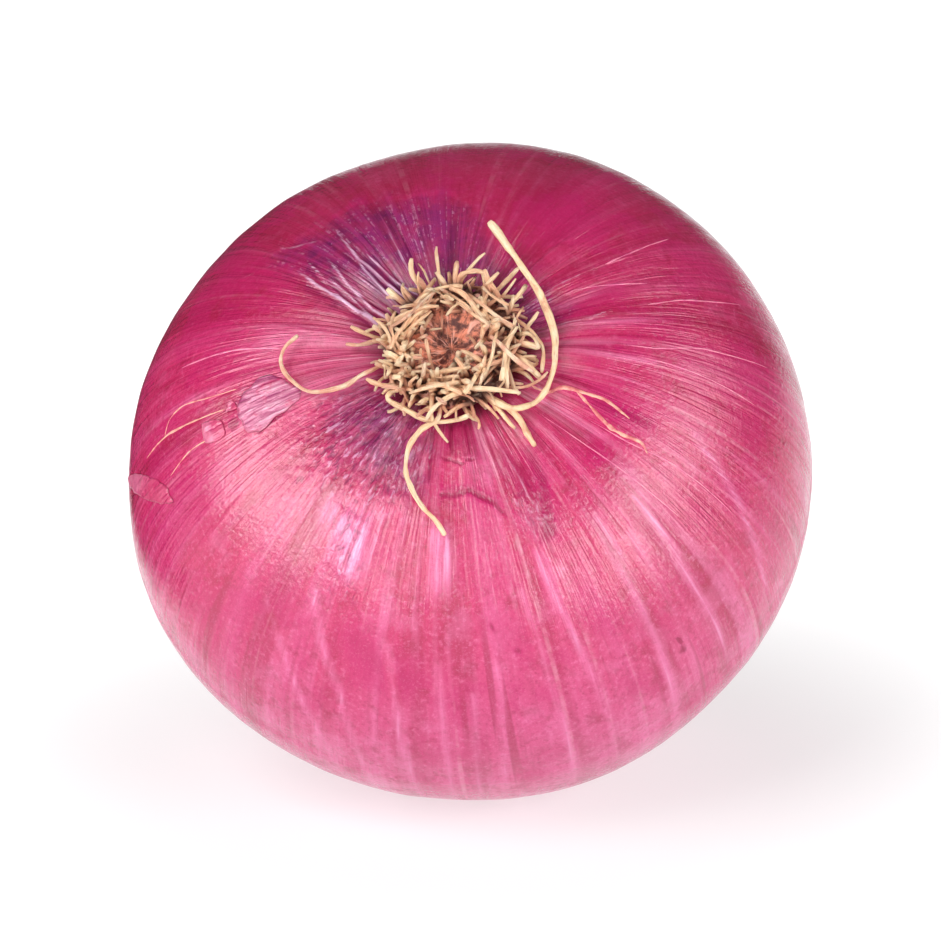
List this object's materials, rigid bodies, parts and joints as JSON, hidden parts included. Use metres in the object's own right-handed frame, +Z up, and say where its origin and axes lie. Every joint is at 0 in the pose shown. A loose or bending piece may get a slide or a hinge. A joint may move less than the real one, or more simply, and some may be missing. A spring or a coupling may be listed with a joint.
{
  "type": "red onion",
  "caption": "Whole dried red onion with clipped roots and a papery neck, lying on a small flat spot with its root end turned up.",
  "frame": {"origin": "on the surface the onion lies on, in the flat spot under the bulb", "axes": "+Z up from the surface; the root end points up and towards -Y, 44 degrees above level; the neck points down and towards +Y"},
  "size_m": [0.0807, 0.0812, 0.0739],
  "materials": {
    "skin": "satin",
    "roots": "matte",
    "papery_neck": "matte"
  },
  "bodies": {
    "root": {"bulb": "skin", "root_tuft": "roots", "dry_neck": "papery_neck"}
  },
  "joints": []
}
